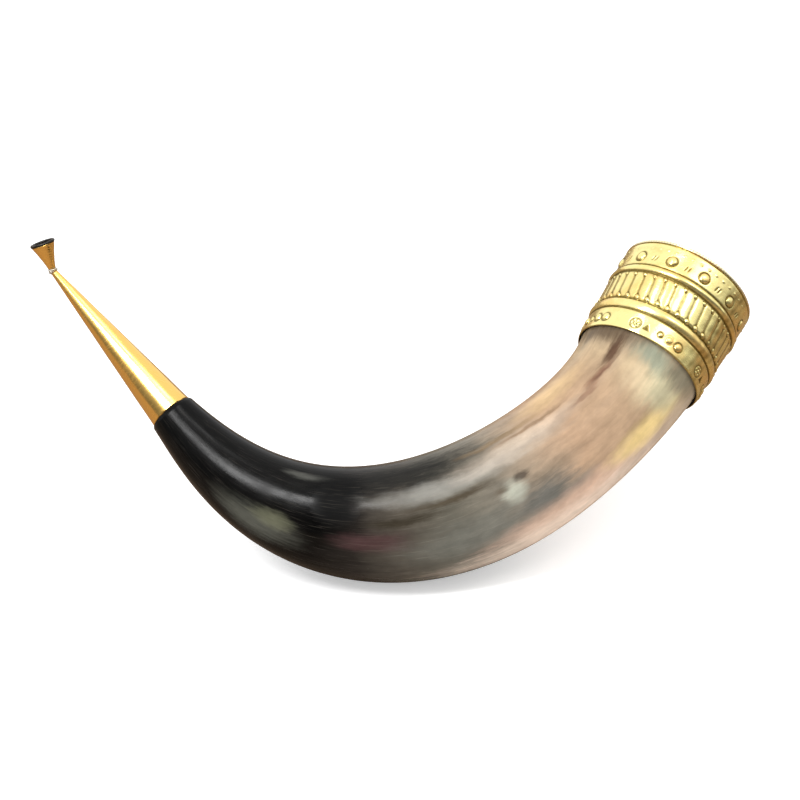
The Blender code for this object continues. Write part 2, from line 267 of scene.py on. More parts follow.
def centreline(share, steps=400):
    """Points from the tip: the direction added up in small steps, then straight on past the collar's edge."""
    share = np.asarray(share, dtype=float)
    fine = np.linspace(0.0, 1.0, steps + 1)
    strides = tangent((fine[1:] + fine[:-1]) / 2) * HORN_LENGTH / steps
    walked = np.vstack([np.zeros(3), np.cumsum(strides, axis=0)])
    points = np.stack([np.interp(share, fine, walked[:, axis]) for axis in range(3)], axis=-1)
    beyond = np.maximum(share - 1.0, 0.0)[..., None] * HORN_LENGTH
    return points + beyond * tangent(1.0)


def tube(share, radius, sides):
    """Rings round the centreline: the point, plus the radius times cos of the angle along the side direction
    and sin of the angle along the direction square to it. radius has one row per ring."""
    angle = round_angles(sides)[..., None]
    side = across(share)[:, None, :]
    up = np.cross(tangent(share), across(share))[:, None, :]
    round_about = np.cos(angle) * side + np.sin(angle) * up
    return centreline(share)[:, None, :] + radius[:, :, None] * round_about


def bell_radius(height):
    """The horn's outer radius at a height above the collar's lower edge: a straight taper."""
    return OUTER_RADII[-1] + BELL_FLARE * np.asarray(height) / BELL_LENGTH


def outer_radius(share):
    """The horn's outer radius: a curve through the part's radii, then the taper under the collar."""
    under_collar = bell_radius(np.maximum(share - 1.0, 0.0) * HORN_LENGTH)
    return np.where(share < 1, OUTER_RADIUS(np.minimum(share, 1.0)), under_collar)


def hollow_radius(share):
    """The drilled bore, then the cavity, which swells to the wall as one minus a cube of what is left."""
    left = np.clip((1 - share) / (1 - CAVITY_START), 0.0, 1.0)
    return BORE_RADIUS + (outer_radius(share) - BELL_WALL - BORE_RADIUS) * (1 - left ** CAVITY_SWELL)


def horn_place():
    """The tip's centre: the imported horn's lowest corner less that of the same horn at the origin."""
    share = np.append(np.linspace(0.0, 1.0, PART_RINGS), 1.0 + BELL_LENGTH / HORN_LENGTH)
    rings = tube(share, outer_radius(share)[:, None], PART_SIDES)
    rings[0] += tangent(0.0) * TIP_ROUNDING
    low = np.array(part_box("horn_shell")[0])
    return low - rings.reshape(-1, 3).min(axis=0)


def collar_inner(height):
    return bell_radius(height) + GAP + BEDDING_THICKNESS + GAP


def bell_throat(height):
    """The radius that the collar's turned-in edge may have inside the horn."""
    return (bell_radius(height) - BELL_WALL) * np.cos(np.pi / PART_SIDES) - GAP


class Axis:
    """An origin with a Z axis and an X axis square to it."""

    def __init__(self, origin, axis, side):
        z = axis / np.linalg.norm(axis)
        x = side / np.linalg.norm(side)
        self.origin = origin
        self.turn = np.stack([x, np.cross(z, x), z], axis=-1)

    def place(self, points):
        return points @ self.turn.T + self.origin


def bell_axis():
    return Axis(horn_place() + centreline(1.0), tangent(1.0), across(1.0))


def mouth_axis():
    return Axis(horn_place(), -tangent(0.0), across(0.0))


def spin_about_z(points, angle):
    c, s = np.cos(angle), np.sin(angle)
    return points @ np.array([[c, s, 0.0], [-s, c, 0.0], [0.0, 0.0, 1.0]])


def elbow_step(share):
    """Place and direction along the neck's bend: an arc of a circle that starts along Z and leans to X."""
    bend = np.radians(CUP_CANT) * np.asarray(share, dtype=float)
    zero = np.zeros_like(bend)
    place = np.stack([ELBOW_BEND_RADIUS * (1 - np.cos(bend)), zero,
                      CONE_LENGTH + GAP + ELBOW_BEND_RADIUS * np.sin(bend)], axis=-1)
    return place, np.stack([np.sin(bend), zero, np.cos(bend)], axis=-1)


def cup_axis():
    mouth = mouth_axis()
    place, direction = elbow_step(1.0)
    turn = np.radians(CUP_CANT_TURN)
    origin = mouth.place(spin_about_z(place + direction * GAP, turn))
    axis = spin_about_z(direction, turn) @ mouth.turn.T
    side = spin_about_z(np.array([0.0, 1.0, 0.0]), turn) @ mouth.turn.T
    return Axis(origin, axis, side)


def turned(profile, sides, relief):
    """A profile of (radius, height) carried round Z. relief is added to the radius, one value per point."""
    profile = np.asarray(profile, dtype=float)
    angle = round_angles(sides)
    radius = all_round(profile[:, 0], sides) + relief
    height = all_round(profile[:, 1], sides)
    return np.stack([radius * np.cos(angle), radius * np.sin(angle), height], axis=-1)


def arc(centre, radius, start, stop, count):
    """Points of (radius, height) on an arc between two angles in degrees."""
    angle = np.radians(np.linspace(start, stop, count))
    return np.stack([centre[0] + radius * np.cos(angle), centre[1] + radius * np.sin(angle)], axis=-1)


def skin(name, rings, finish, sharp=40.0, **attributes):
    """Joins each ring to the next, and the last to the first, into one closed mesh that faces outwards."""
    here = np.arange(rings.shape[0] * rings.shape[1]).reshape(rings.shape[:2])
    after = np.roll(here, -1, axis=0)
    beside, beyond = (np.roll(row, -1, axis=1) for row in (here, after))
    faces = np.stack([here, beside, beyond, after], axis=-1).reshape(-1, 4)
    points = rings.reshape(-1, 3)
    first, second, third, fourth = ((points - points.mean(axis=0))[faces[:, k]] for k in range(4))
    volume = np.einsum("ij,ij->i", first, np.cross(second, third) + np.cross(third, fourth)).sum()
    if volume < 0:
        faces = faces[:, ::-1]
    return add_mesh(name, points, faces, finish, sharp, attributes)


def add_mesh(name, points, faces, finish, sharp, attributes):
    """Puts points, faces and the values that the finish reads at each point into a new object."""
    mesh = bpy.data.meshes.new(name)
    mesh.from_pydata(points, [], faces)
    mesh.shade_smooth()
    mesh.set_sharp_from_angle(angle=float(np.radians(sharp)))
    for label, values in attributes.items():
        vector = values.ndim == 3
        layer = mesh.attributes.new(label, "FLOAT_VECTOR" if vector else "FLOAT", "POINT")
        layer.data.foreach_set("vector" if vector else "value", values.astype(np.float32).ravel())
    mesh.materials.append(finish)
    made = bpy.data.objects.new(name, mesh)
    bpy.context.scene.collection.objects.link(made)
    return made


def belongs(piece, body, slot, node):
    """Puts a piece on its body in place of the part's own node."""
    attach(piece, body)
    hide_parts(node)


def turn_piece(name, axis, profile, relief, finish, home, hollow=None, **details):
    """Turns a profile on an axis into a piece. relief and the darkening that the brass reads have rows for
    the first of its points, and the rest are plain. home is the piece's body, slot and node; the slot is not
    used."""
    plain = len(profile) - len(relief)
    if hollow is not None:
        details["hollow"] = then_plain(hollow, plain)
    rings = axis.place(turned(profile, relief.shape[1], then_plain(relief, plain)))
    belongs(skin(name, rings, finish, **details), *home)


# ---------------------------------------------------------------- finishes

def paint(red, green, blue):
    """A colour given as it is seen on a screen, from 0 to 255, as the linear colour that a shader takes."""
    seen = np.array([red, green, blue]) / 255.0
    linear = np.where(seen <= 0.04045, seen / 12.92, ((seen + 0.055) / 1.055) ** 2.4)
    return (*[float(value) for value in linear], 1.0)


def shade(colour, share=1.0):
    """A setting's colour, darkened or lightened by a share, with its alpha."""
    return (*[min(channel * share, 1.0) for channel in colour], 1.0)


class Nodes:
    """A node tree, with a short call for each kind of node that the finishes and the surroundings use."""

    def __init__(self, tree):
        self.tree = tree

    def put(self, socket, value):
        if isinstance(value, bpy.types.NodeSocket):
            self.tree.links.new(value, socket)
        else:
            socket.default_value = value

    def node(self, kind, inputs=None, **settings):
        """Adds a node. inputs gives each input's value, or the socket that feeds it."""
        made = self.tree.nodes.new(kind)
        for key, value in settings.items():
            setattr(made, key, value)
        for label, value in (inputs or {}).items():
            self.put(made.inputs[label], value)
        return made

    def maths(self, operation, *terms, clamp=False):
        made = self.node("ShaderNodeMath", dict(enumerate(terms)), operation=operation, use_clamp=clamp)
        return made.outputs[0]

    def ranged(self, value, low, high, to_low=0.0, to_high=1.0, kind="SMOOTHSTEP"):
        inputs = {"Value": value, "From Min": low, "From Max": high, "To Min": to_low, "To Max": to_high}
        return self.node("ShaderNodeMapRange", inputs, interpolation_type=kind).outputs["Result"]

    def ray(self, kind):
        return self.node("ShaderNodeLightPath").outputs[f"Is {kind} Ray"]


class Finish(Nodes):
    """One material's nodes."""

    def __init__(self, name):
        self.material = bpy.data.materials.new(name)
        self.material.use_nodes = True
        super().__init__(self.material.node_tree)

    def attribute(self, name, output="Fac"):
        return self.node("ShaderNodeAttribute", attribute_name=name).outputs[output]

    def object_space(self):
        return self.node("ShaderNodeTexCoord").outputs["Object"]

    def mapped(self, vector, scale, place=(0, 0, 0), turn=(0, 0, 0), kind="POINT"):
        inputs = {"Vector": vector, "Location": place, "Rotation": turn, "Scale": scale}
        return self.node("ShaderNodeMapping", inputs, vector_type=kind).outputs["Vector"]

    def noise(self, vector, scale, detail=4.0, rough=0.55, output="Fac"):
        """Noise. scale is one number, or three where the pattern is drawn out along an axis."""
        if isinstance(scale, tuple):
            vector, scale = self.mapped(vector, scale), 1.0
        inputs = {"Vector": vector, "Scale": scale, "Detail": detail, "Roughness": rough}
        return self.node("ShaderNodeTexNoise", inputs).outputs[output]

    def vector_maths(self, operation, *terms, output="Vector"):
        made = self.node("ShaderNodeVectorMath", dict(enumerate(terms)), operation=operation)
        return made.outputs[output]

    def strayed(self, vector, where, fineness, reach, detail):
        """A vector pushed about by noise: the noise's colour less its middle, times the reach."""
        push = self.noise(where, fineness, detail, 0.6, "Color")
        push = self.vector_maths("MULTIPLY", self.vector_maths("SUBTRACT", push, (0.5, 0.5, 0.5)), reach)
        return self.vector_maths("ADD", vector, push)

    def ramp(self, value, stops):
        made = self.node("ShaderNodeValToRGB", {0: value})
        elements = made.color_ramp.elements
        for index, (place, colour) in enumerate(stops):
            element = elements[index] if index < 2 else elements.new(place)
            element.position = place
            element.color = colour
        return made.outputs["Color"]

    def mix(self, share, first, second, blend="MIX"):
        inputs = {"Factor": share, 6: first, 7: second}
        return self.node("ShaderNodeMix", inputs, data_type="RGBA", blend_type=blend).outputs[2]

    def bump(self, height, strength, distance, before=None):
        inputs = {"Height": height, "Strength": strength, "Distance": distance}
        if before is not None:
            inputs["Normal"] = before
        return self.node("ShaderNodeBump", inputs).outputs["Normal"]

    def finish(self, **inputs):
        """Feeds the shader's inputs, each named with _ for its blanks, and gives back the material."""
        shader = self.tree.nodes["Principled BSDF"]
        for label, value in inputs.items():
            self.put(shader.inputs[label.replace("_", " ")], value)
        return self.material


# The horn's ground colour from the tip (0) to the collar (1), as seen.
GROUND = ((0.00, (8, 8, 8)), (0.33, (10, 9, 8)), (0.40, (34, 30, 27)), (0.47, (72, 66, 58)),
          (0.55, (92, 88, 78)), (0.63, (118, 111, 99)), (0.70, (150, 132, 112)), (0.78, (172, 143, 116)),
          (0.88, (170, 143, 115)), (0.95, (174, 152, 122)), (1.00, (134, 119, 97)))

# Markings: share along, angle round, half length, half width, colour as seen, strength.
MARKINGS = (
    (0.235, 226, 0.026, 0.012, (84, 84, 76), 0.68),     # the olive bloom near the tip
    (0.262, 212, 0.012, 0.006, (104, 104, 84), 0.60),
    (0.290, 148, 0.016, 0.004, (104, 104, 98), 0.60),   # a light fleck on top
    (0.480, 150, 0.060, 0.016, (24, 24, 23), 0.90),     # the dark upper band
    (0.350, 185, 0.018, 0.020, (1, 1, 1), 0.95),        # the blackest patch
    (0.360, 160, 0.016, 0.018, (1, 1, 1), 0.95),
    (0.420, 215, 0.020, 0.007, (72, 50, 50), 0.75),     # plum
    (0.475, 196, 0.022, 0.0035, (46, 40, 30), 0.80),    # the dark streak under the highlight
    (0.560, 187, 0.024, 0.0032, (60, 50, 36), 0.80),
    # The next two pale streaks along the top of the belly are partly the horn's own paler colour and partly a
    # painted highlight, standing in for the overhead soft box's streak.
    (0.560, 174, 0.048, 0.0060, (150, 148, 141), 0.55),  # the pale streak along the top of the belly
    (0.700, 168, 0.045, 0.0080, (206, 190, 172), 0.50),
    (0.600, 226, 0.045, 0.013, (100, 100, 93), 0.65),   # slate
    (0.700, 223, 0.020, 0.010, (98, 96, 90), 0.95),
    (0.760, 230, 0.012, 0.006, (120, 112, 102), 0.70),
    (0.745, 246, 0.055, 0.010, (206, 172, 150), 0.75),  # rose
    (0.755, 264, 0.075, 0.012, (232, 208, 188), 0.85),  # the pale underside
    (0.750, 158, 0.032, 0.0020, (128, 104, 80), 0.80),  # the thin brown line
    (0.690, 150, 0.030, 0.0022, (128, 106, 78), 0.60),
    (0.820, 140, 0.030, 0.009, (206, 176, 130), 0.60),  # gold
    (0.956, 161, 0.017, 0.0038, (82, 58, 44), 0.95),    # the brown streak below the collar
    (0.900, 166, 0.016, 0.0026, (118, 84, 66), 0.90),
    (0.858, 171, 0.013, 0.0020, (150, 116, 92), 0.85),
    (0.653, 202, 0.0080, 0.0070, (190, 192, 176), 0.66),  # the scar and its edges
    (0.674, 193, 0.0050, 0.0026, (70, 60, 52), 0.80),
    (0.634, 196, 0.0050, 0.0026, (88, 76, 62), 0.70),
    (0.885, 238, 0.024, 0.0080, (232, 204, 134), 0.70),  # honey
    (0.950, 208, 0.016, 0.016, (216, 198, 162), 0.60),   # cream
    (0.978, 198, 0.008, 0.014, (136, 146, 128), 0.75),   # moss
    (0.950, 224, 0.012, 0.012, (190, 190, 156), 0.50),
    (0.985, 232, 0.007, 0.014, (120, 114, 96), 0.75),
    (0.990, 140, 0.008, 0.024, (84, 68, 52), 0.80),      # darker next to the collar's edge
)
# How deep a marking reaches, as a share of its half width and a length on top of it.
MARKING_DEPTH = (4.0, 0.004)

# A patch that has lost its polish: share along, angle round, half length, half width and depth.
DULL_PATCH = (0.362, 175, 0.015, 0.022, 0.030)
INSIDE_ROUGHNESS = 0.62
DULL_ROUGHNESS = 0.60


def off_patch(horn, grain, place, angle, half_length, half_width, depth):
    """How far the grain's space lies from the middle of a patch: the length of the offset, with each axis
    measured in the patch's own half sizes, so that it is 1 at the patch's edge."""
    turn = float(np.radians(angle))
    centre = (GRAIN_RADIUS * np.cos(turn), GRAIN_RADIUS * np.sin(turn), place * HORN_LENGTH)
    local = horn.mapped(grain, (depth, half_width, half_length), centre, (0.0, 0.0, turn), "TEXTURE")
    return horn.vector_maths("LENGTH", local, output="Value")


def horn_finish(settings):
    """Horn: the ground colour by the distance along, fine grain drawn out lengthwise, and markings, each a
    soft ellipse in the grain's own straightened space."""
    horn = Finish("polished_horn")
    grain = horn.attribute("grain", "Vector")
    share = horn.attribute("share")
    inside = horn.attribute("inside")

    drifted = horn.strayed(grain, grain, (55, 55, 25), (0.010, 0.010, 0.014), detail=5.0)
    fine = horn.noise(drifted, (420, 420, 40), rough=0.65)
    drifted = horn.strayed(drifted, grain, (260, 260, 110), (0.0018, 0.0018, 0.0050), detail=4.0)
    broad = horn.noise(drifted, (70, 70, 7), detail=3.0)
    mottle = horn.noise(grain, (130, 130, 90), detail=5.0, rough=0.6)
    hair = horn.noise(grain, (1400, 1400, 60), detail=2.0)

    wander = horn.maths("MULTIPLY_ADD", broad, 0.10, -0.05)
    colour = horn.ramp(horn.maths("ADD", share, wander), [(place, paint(*seen)) for place, seen in GROUND])
    fibres = horn.ranged(fine, 0.25, 0.75, -0.24, 0.24, kind="LINEAR")
    for place, angle, half_length, half_width, seen, strength in MARKINGS:
        depth = MARKING_DEPTH[0] * half_width + MARKING_DEPTH[1]
        off = off_patch(horn, drifted, place, angle, half_length, half_width, depth)
        cover = horn.ranged(horn.maths("ADD", off, fibres), 1.45, 0.25, 0.0, strength)
        colour = horn.mix(cover, colour, paint(*seen))

    for tone in (horn.ranged(fine, 0.35, 0.70, 0.94, 1.06), horn.ranged(broad, 0.30, 0.52, 0.78, 1.0),
                 horn.ranged(mottle, 0.30, 0.70, 0.90, 1.08)):
        colour = horn.mix(1.0, colour, tone, "MULTIPLY")
    pale = horn.maths("MULTIPLY", horn.ranged(hair, 0.55, 0.80, 0.0, 0.06),
                      horn.ranged(share, 0.25, 0.60, 0.55, 1.0))
    colour = horn.mix(pale, colour, paint(210, 198, 180))
    colour = horn.mix(inside, colour, horn.mix(broad, paint(150, 128, 98), paint(96, 78, 58)))

    gloss = horn.ranged(mottle, 0.30, 0.75, settings.roughness - 0.05, settings.roughness + 0.08)
    gloss = horn.maths("MAXIMUM", gloss, horn.maths("MULTIPLY", inside, INSIDE_ROUGHNESS))
    dull = horn.ranged(off_patch(horn, drifted, *DULL_PATCH), 1.5, 0.4, 0.0, DULL_ROUGHNESS)
    gloss = horn.maths("MAXIMUM", gloss, dull)
    relief = horn.bump(hair, 0.06, 0.0001, horn.bump(fine, 0.12, 0.0003))
    return horn.finish(Base_Color=colour, Roughness=gloss, Normal=relief, IOR=1.54, Specular_IOR_Level=0.08)


def brass_finish(name, settings, bright=None, worn=1.0, beaten=1.0, hollows=True):
    """Brass: bright and redder metal in soft patches, tarnish in the recesses, painted shade inside the cup
    and a painted dark reflection on the collar's right side, scratches and a cloudy gloss. worn is how much
    redder metal shows and beaten how uneven the sheet is."""
    brass = Finish(name)
    bright, deep = shade(bright or settings.brass), shade(settings.brass_deep)
    where = brass.object_space()
    cloud = brass.noise(where, 42.0, detail=5.0, rough=0.6)
    hammered = brass.noise(where, 170.0, detail=3.0)
    speck = brass.noise(where, 900.0, detail=3.0, rough=0.7)
    scratch = brass.noise(brass.mapped(where, (220, 1500, 260), turn=(0.3, 0.5, 0.9)), 1.0, detail=3.0)
    colour = brass.mix(brass.ranged(cloud, 0.44, 0.64, 0.0, 0.75 * worn), bright, deep)
    colour = brass.mix(brass.ranged(speck, 0.60, 0.78, 0.0, 0.35 * worn), colour, deep)
    gloss = brass.ranged(cloud, 0.30, 0.75, 0.17, 0.30)
    gloss = brass.maths("ADD", gloss, brass.ranged(scratch, 0.45, 0.75, 0.0, 0.10))
    # Each piece's darkening attribute: tarnish in its recesses, plus painted shade inside the cup and a
    # painted dark reflection on the collar's right side.
    if hollows:
        speckle = brass.ranged(speck, 0.25, 0.55, 0.70, 1.0)
        tarnish_and_shade_mask = brass.maths("MULTIPLY", brass.attribute("hollow"), speckle, clamp=True)
        colour = brass.mix(tarnish_and_shade_mask, colour, shade(settings.tarnish))
        gloss = brass.maths("ADD", gloss, brass.maths("MULTIPLY", tarnish_and_shade_mask, 0.22))
    relief = None
    for pattern, strength, depth in ((cloud, 0.20, 0.0014), (hammered, 0.22, 0.0007),
                                     (speck, 0.10, 0.00012), (scratch, 0.08, 0.00010)):
        relief = brass.bump(pattern, strength * beaten, depth, relief)
    return brass.finish(Base_Color=colour, Roughness=gloss, Normal=relief, Metallic=1.0)


def dull_finish(name, colour, darker, scale, roughness, depth, metallic=0.0):
    """Dull metal or pitch: close shades in coarse noise, paler specks in fine noise, and a bump of both."""
    dull = Finish(name)
    where = dull.object_space()
    coarse = dull.noise(where, scale, detail=6.0, rough=0.65)
    fine = dull.noise(where, scale * 5, detail=3.0, rough=0.7)
    tone = dull.mix(dull.ranged(coarse, 0.35, 0.68), shade(colour), shade(colour, darker))
    tone = dull.mix(dull.ranged(fine, 0.55, 0.75, 0.0, 0.5), tone, shade(colour, 1.6))
    gloss = dull.ranged(coarse, 0.3, 0.7, roughness - 0.10, roughness + 0.10)
    relief = dull.bump(fine, 0.3, depth / 3, dull.bump(coarse, 0.5, depth))
    return dull.finish(Base_Color=tone, Roughness=gloss, Normal=relief, Metallic=metallic)


def cork_finish(settings):
    """Cork: warm brown granules with dark pits between them."""
    cork = Finish("cork")
    where = cork.object_space()
    grains = cork.node("ShaderNodeTexVoronoi", {"Vector": where, "Scale": 900.0}).outputs["Distance"]
    pits = cork.noise(where, 700.0, detail=4.0, rough=0.7)
    colour = cork.mix(cork.ranged(grains, 0.25, 0.65), shade(settings.cork), shade(settings.cork, 0.55))
    colour = cork.mix(cork.ranged(pits, 0.60, 0.72), colour, paint(52, 34, 22))
    gloss = cork.ranged(pits, 0.3, 0.7, 0.75, 0.95)
    return cork.finish(Base_Color=colour, Roughness=gloss, Normal=cork.bump(pits, 0.6, 0.0005))


# ---------------------------------------------------------------- relief

# The old scar: share along, angle round, half length and half width.
SCAR = (0.655, 200.0, 0.0085, 0.0065)

# Grooves of the collar: depth, half width, and gap from the edge that they run along.
LOWER_RING = (0.00034, 0.0004, 0.0003)
UPPER_RING = (0.00045, 0.00045, 0.0003)
BEAD_RING = (0.00026, 0.0003, 0.0002)
ROSETTE_RING = (0.00030, 0.0004, 0.0038)
COLUMN_LINE = (0.00042, 0.00042, 0.0)
RIB_GROOVE = (0.00040, 0.0006, 0.0003)
RIM_GROOVE = (0.00075, 0.0009, 0.0)

# The lower band's motif, with its parts' places in degrees and the domes' sizes as shares of a boss.
MOTIF_DOMES = ((0.0, 1.0), (10.0, 1.0), (-8.6, 0.58))
ROSETTE_PLACE = 40.0
ROSETTE_RADIUS = 0.0023
ROSETTE_DOTS = (0.0009, 0.0011)
TRIANGLE_PLACE = -21.5
TRIANGLE_REACH = 0.0024
TRIANGLE_DEPTH = 0.00050
TRIANGLE_EDGE = 0.0008

# The middle band: where its columns start, how far its lines lean, and its beads' places and radii.
COLUMN_START = 192.0
LINE_LEAN = -0.0029
BEADS = ((-0.80, 0.00165), (0.78, 0.00120))
BEAD_RISE = 0.62

# The upper band: where its domes start and stand, its ticks' place and half sizes, and its dots.
DOME_START = 197.5
DOME_HEIGHT = 0.0572
TICK_PLACE = (0.0011, -0.0006)
TICK_HALF = (0.00060, 0.0021)
TICK_DEPTH = 0.00052
TICK_SLANT = 0.30
DOT_HEIGHT = 0.0640
DOT_RADIUS = 0.0009

# The sheet's seam, as the angle and the height of its lap, and its rolled lower edge's depth and height.
SEAM_PLACE = 330.0
SEAM_LAP = 0.00018
EDGE_ROLL = (0.00030, 0.0006)
# A point that lies this far below the average round it is wholly tarnished.
FULL_HOLLOW = 0.00022


def scraped(angle, share, settings):
    """How far the scraper went below the round: long flats that wander as they run, and fine ridges."""
    flats = 0.5 + 0.5 * np.sin(7 * angle + 2.4 * np.sin(5 * share) + 1.0)
    flats = flats * (0.6 + 0.4 * np.sin(3 * angle - 6 * share))
    ridges = 0.5 + 0.5 * np.sin(61 * angle + 3.0 * np.sin(4 * share + 2 * angle))
    return settings.facet_depth * flats + settings.ridge_depth * ridges


def scar(angle, share, settings):
    """A shallow pit with a soft edge: a falling curve of the distance from its middle."""
    place, degrees, half_length, half_width = SCAR
    along = (share - place) * HORN_LENGTH / half_length
    around = angle_from(angle, degrees) * GRAIN_RADIUS / half_width
    return settings.scar_depth * np.exp(-(along ** 2 + around ** 2) ** 1.5)


def dome(sideways, up, radius, rise):
    """Half an ellipsoid over a round foot."""
    return rise * np.sqrt(np.clip(1 - (sideways ** 2 + up ** 2) / radius ** 2, 0.0, 1.0))


def groove(distance, kind):
    """A soft-edged groove along an edge: a bell curve of the distance from its own line."""
    depth, half_width, gap = kind
    return depth * bell_curve(distance - gap, half_width)


def ringed_dome(sideways, up, radius, rise, ring):
    """A dome in a sunk ring."""
    return dome(sideways, up, radius, rise) - groove(np.hypot(sideways, up) - radius, ring)


def to_nearest(angle, count, degrees):
    """The signed angle to the nearest of a number of places, spread evenly from one at so many degrees."""
    pitch = 2 * np.pi / count
    angle = angle - np.radians(degrees)
    return angle - pitch * np.round(angle / pitch)


def lower_band(height, angle, radius, settings):
    """A motif of two domes side by side, a smaller one, a sunk triangle and a rosette of seven dots, all
    smoothed away round each nail."""
    rise = settings.boss_rise
    start = NAIL_TURN + 180.0
    up = height - NAIL_HEIGHT

    def off(degrees):
        """The arc length from the place at an angle in the motif."""
        return to_nearest(angle, settings.lower_count, start + degrees) * radius

    relief = -groove(np.hypot(off(ROSETTE_PLACE), up), ROSETTE_RING)
    for degrees, size in MOTIF_DOMES:
        relief += ringed_dome(off(degrees), up, settings.boss_radius * size, rise * size, LOWER_RING)
    for turn in np.radians(np.arange(0.0, 360.0, 60.0)):
        relief += dome(off(ROSETTE_PLACE) - ROSETTE_RADIUS * np.cos(turn), up - ROSETTE_RADIUS * np.sin(turn),
                       ROSETTE_DOTS[0], 0.6 * rise)
    relief += dome(off(ROSETTE_PLACE), up, ROSETTE_DOTS[1], 0.8 * rise)
    triangle = (TRIANGLE_REACH - np.abs(off(TRIANGLE_PLACE)) * 1.5 - up * 0.8) / TRIANGLE_EDGE
    relief -= np.where(up > -TRIANGLE_REACH, TRIANGLE_DEPTH * np.clip(triangle, 0.0, 1.0), 0.0)

    from_nail = np.hypot(to_nearest(angle, NAIL_COUNT, NAIL_TURN) * radius, up)
    return relief * smooth_step(from_nail, settings.boss_radius, settings.boss_radius * 1.35)


def middle_band(height, angle, radius, settings):
    """Soft columns parted by sunk lines that lean in an S, with a bead at each line's foot and head. The lean
    is a straight share plus a cube of the height from the band's middle."""
    low, high = LOWER_RIB[0] + LOWER_RIB[1], UPPER_RIB[0] - UPPER_RIB[1]
    middle, half = (low + high) / 2, (high - low) / 2
    along = (height - middle) / half
    lean = LINE_LEAN * (0.35 * along + 0.65 * along ** 3)
    off = to_nearest(angle - lean / radius, settings.column_count, COLUMN_START) * radius
    within = smooth_step(0.86 - np.abs(along), 0.0, 0.10)
    half_pitch = np.pi / settings.column_count * radius
    column = 0.35 * settings.boss_rise * (1 - bell_curve(off, 0.40 * half_pitch))
    relief = within * (column - groove(off, COLUMN_LINE))
    for end, size in BEADS:
        up = height - middle - end * half
        relief = np.maximum(relief, dome(off, up, size, BEAD_RISE * size))
        relief -= groove(np.hypot(off, up) - size, BEAD_RING)
    return relief


def upper_band(height, angle, radius, settings):
    """Large domes in sunk rings, with two slanting ticks between one dome and the next and dots above."""
    count = settings.upper_count
    up = height - DOME_HEIGHT
    off = to_nearest(angle, count, DOME_START) * radius
    relief = ringed_dome(off, up, settings.dome_radius, 1.15 * settings.boss_rise, UPPER_RING)
    off = to_nearest(angle, count, DOME_START + 180.0 / count) * radius
    tall = (up - TICK_PLACE[1]) / TICK_HALF[1]
    for side in (-1, 1):
        wide = (off - side * TICK_PLACE[0] - up * TICK_SLANT) / TICK_HALF[0]
        relief -= TICK_DEPTH * np.exp(-np.hypot(wide, tall) ** 4)
    off = to_nearest(angle, 4 * count, DOME_START) * radius
    return relief + dome(off, height - DOT_HEIGHT, DOT_RADIUS, 0.35 * settings.boss_rise)


def collar_relief(height, angle, settings):
    """The embossing's height above the plain sleeve: three bands, two ribs with a groove at each side, a
    rolled lower edge, the lap of the sheet's seam and a groove under the rim."""
    radius = collar_inner(height) + SHEET
    relief = sum(band(height, angle, radius, settings) for band in (lower_band, middle_band, upper_band))
    for middle, half in (LOWER_RIB, UPPER_RIB):
        off = np.abs(height - middle)
        relief += settings.rib_rise * np.cos(np.minimum(off / half, 1.0) * np.pi / 2)
        relief -= groove(off - half, RIB_GROOVE)
    relief -= EDGE_ROLL[0] * (1 - smooth_step(height, 0.0, EDGE_ROLL[1]))
    seam = angle_from(angle, SEAM_PLACE) * radius
    relief += SEAM_LAP * (smooth_step(seam, -0.0003, 0.0003) - smooth_step(seam, 0.002, 0.012))
    return relief - groove(height - BELL_LENGTH - GAP - SHEET, RIM_GROOVE)


def dents(angle, height, depth):
    """Soft unevenness, always inwards: slow waves round and along, multiplied together."""
    waves = np.sin(5 * angle + 130 * height) * np.sin(3 * angle - 90 * height + 1.0) + 0.6 * np.sin(
        11 * angle + 60 * height)
    return depth * (waves - 1.6) / 3.2


def hollowness(relief, reach=3, passes=2):
    """How far each point lies below the average round it, from 0 to 1. The sheet closes on itself."""
    steps = range(-reach, reach + 1)
    average = relief
    for _ in range(passes):
        average = sum(np.roll(average, step, axis=1) for step in steps) / len(steps)
        padded = np.pad(average, ((reach, reach), (0, 0)), mode="edge")
        average = sum(padded[reach + step:reach + step + len(relief)] for step in steps) / len(steps)
    return np.clip((average - relief) / FULL_HOLLOW, 0.0, 1.0)


# ---------------------------------------------------------------- pieces

# Each soft box: name, place, turn about the upright, size and brightness.
SOFT_BOXES = (
    ("soft_box_left", (-0.50, -0.54, 1.00), 24.0, (0.66, 0.18), 4.7),
    ("soft_box_over", (-0.02, -0.10, 1.00), 82.0, (0.42, 0.14), 0.9),
    ("soft_box_right", (0.80, -0.28, 1.20), 15.0, (0.75, 0.40), 0.6),
)

# What polished pieces mirror: where the bright wall starts and ends behind and above, and both brightnesses.
MIRRORED_WALL = (-0.35, 0.35, 0.20, 1.15)

# The collar's softened top edge, and a painted dark reflection on the collar's right side, laid in as
# tarnish: angle, half width and strength.
HEM_RADIUS = 0.0006
PAINTED_DARK_REFLECTION = (233.0, 17.0, 0.75)
# How many nicks the rim has, and their depth.
RIM_NICKS = (135, 0.00009)
NAIL_CROWN = 0.0012
CONE_SEAM = 300.0
CORK_EASE = 0.0012
CORK_PITS = 0.00006
CUP_BEATING = 0.00006
LIP_CROWN = 0.00095


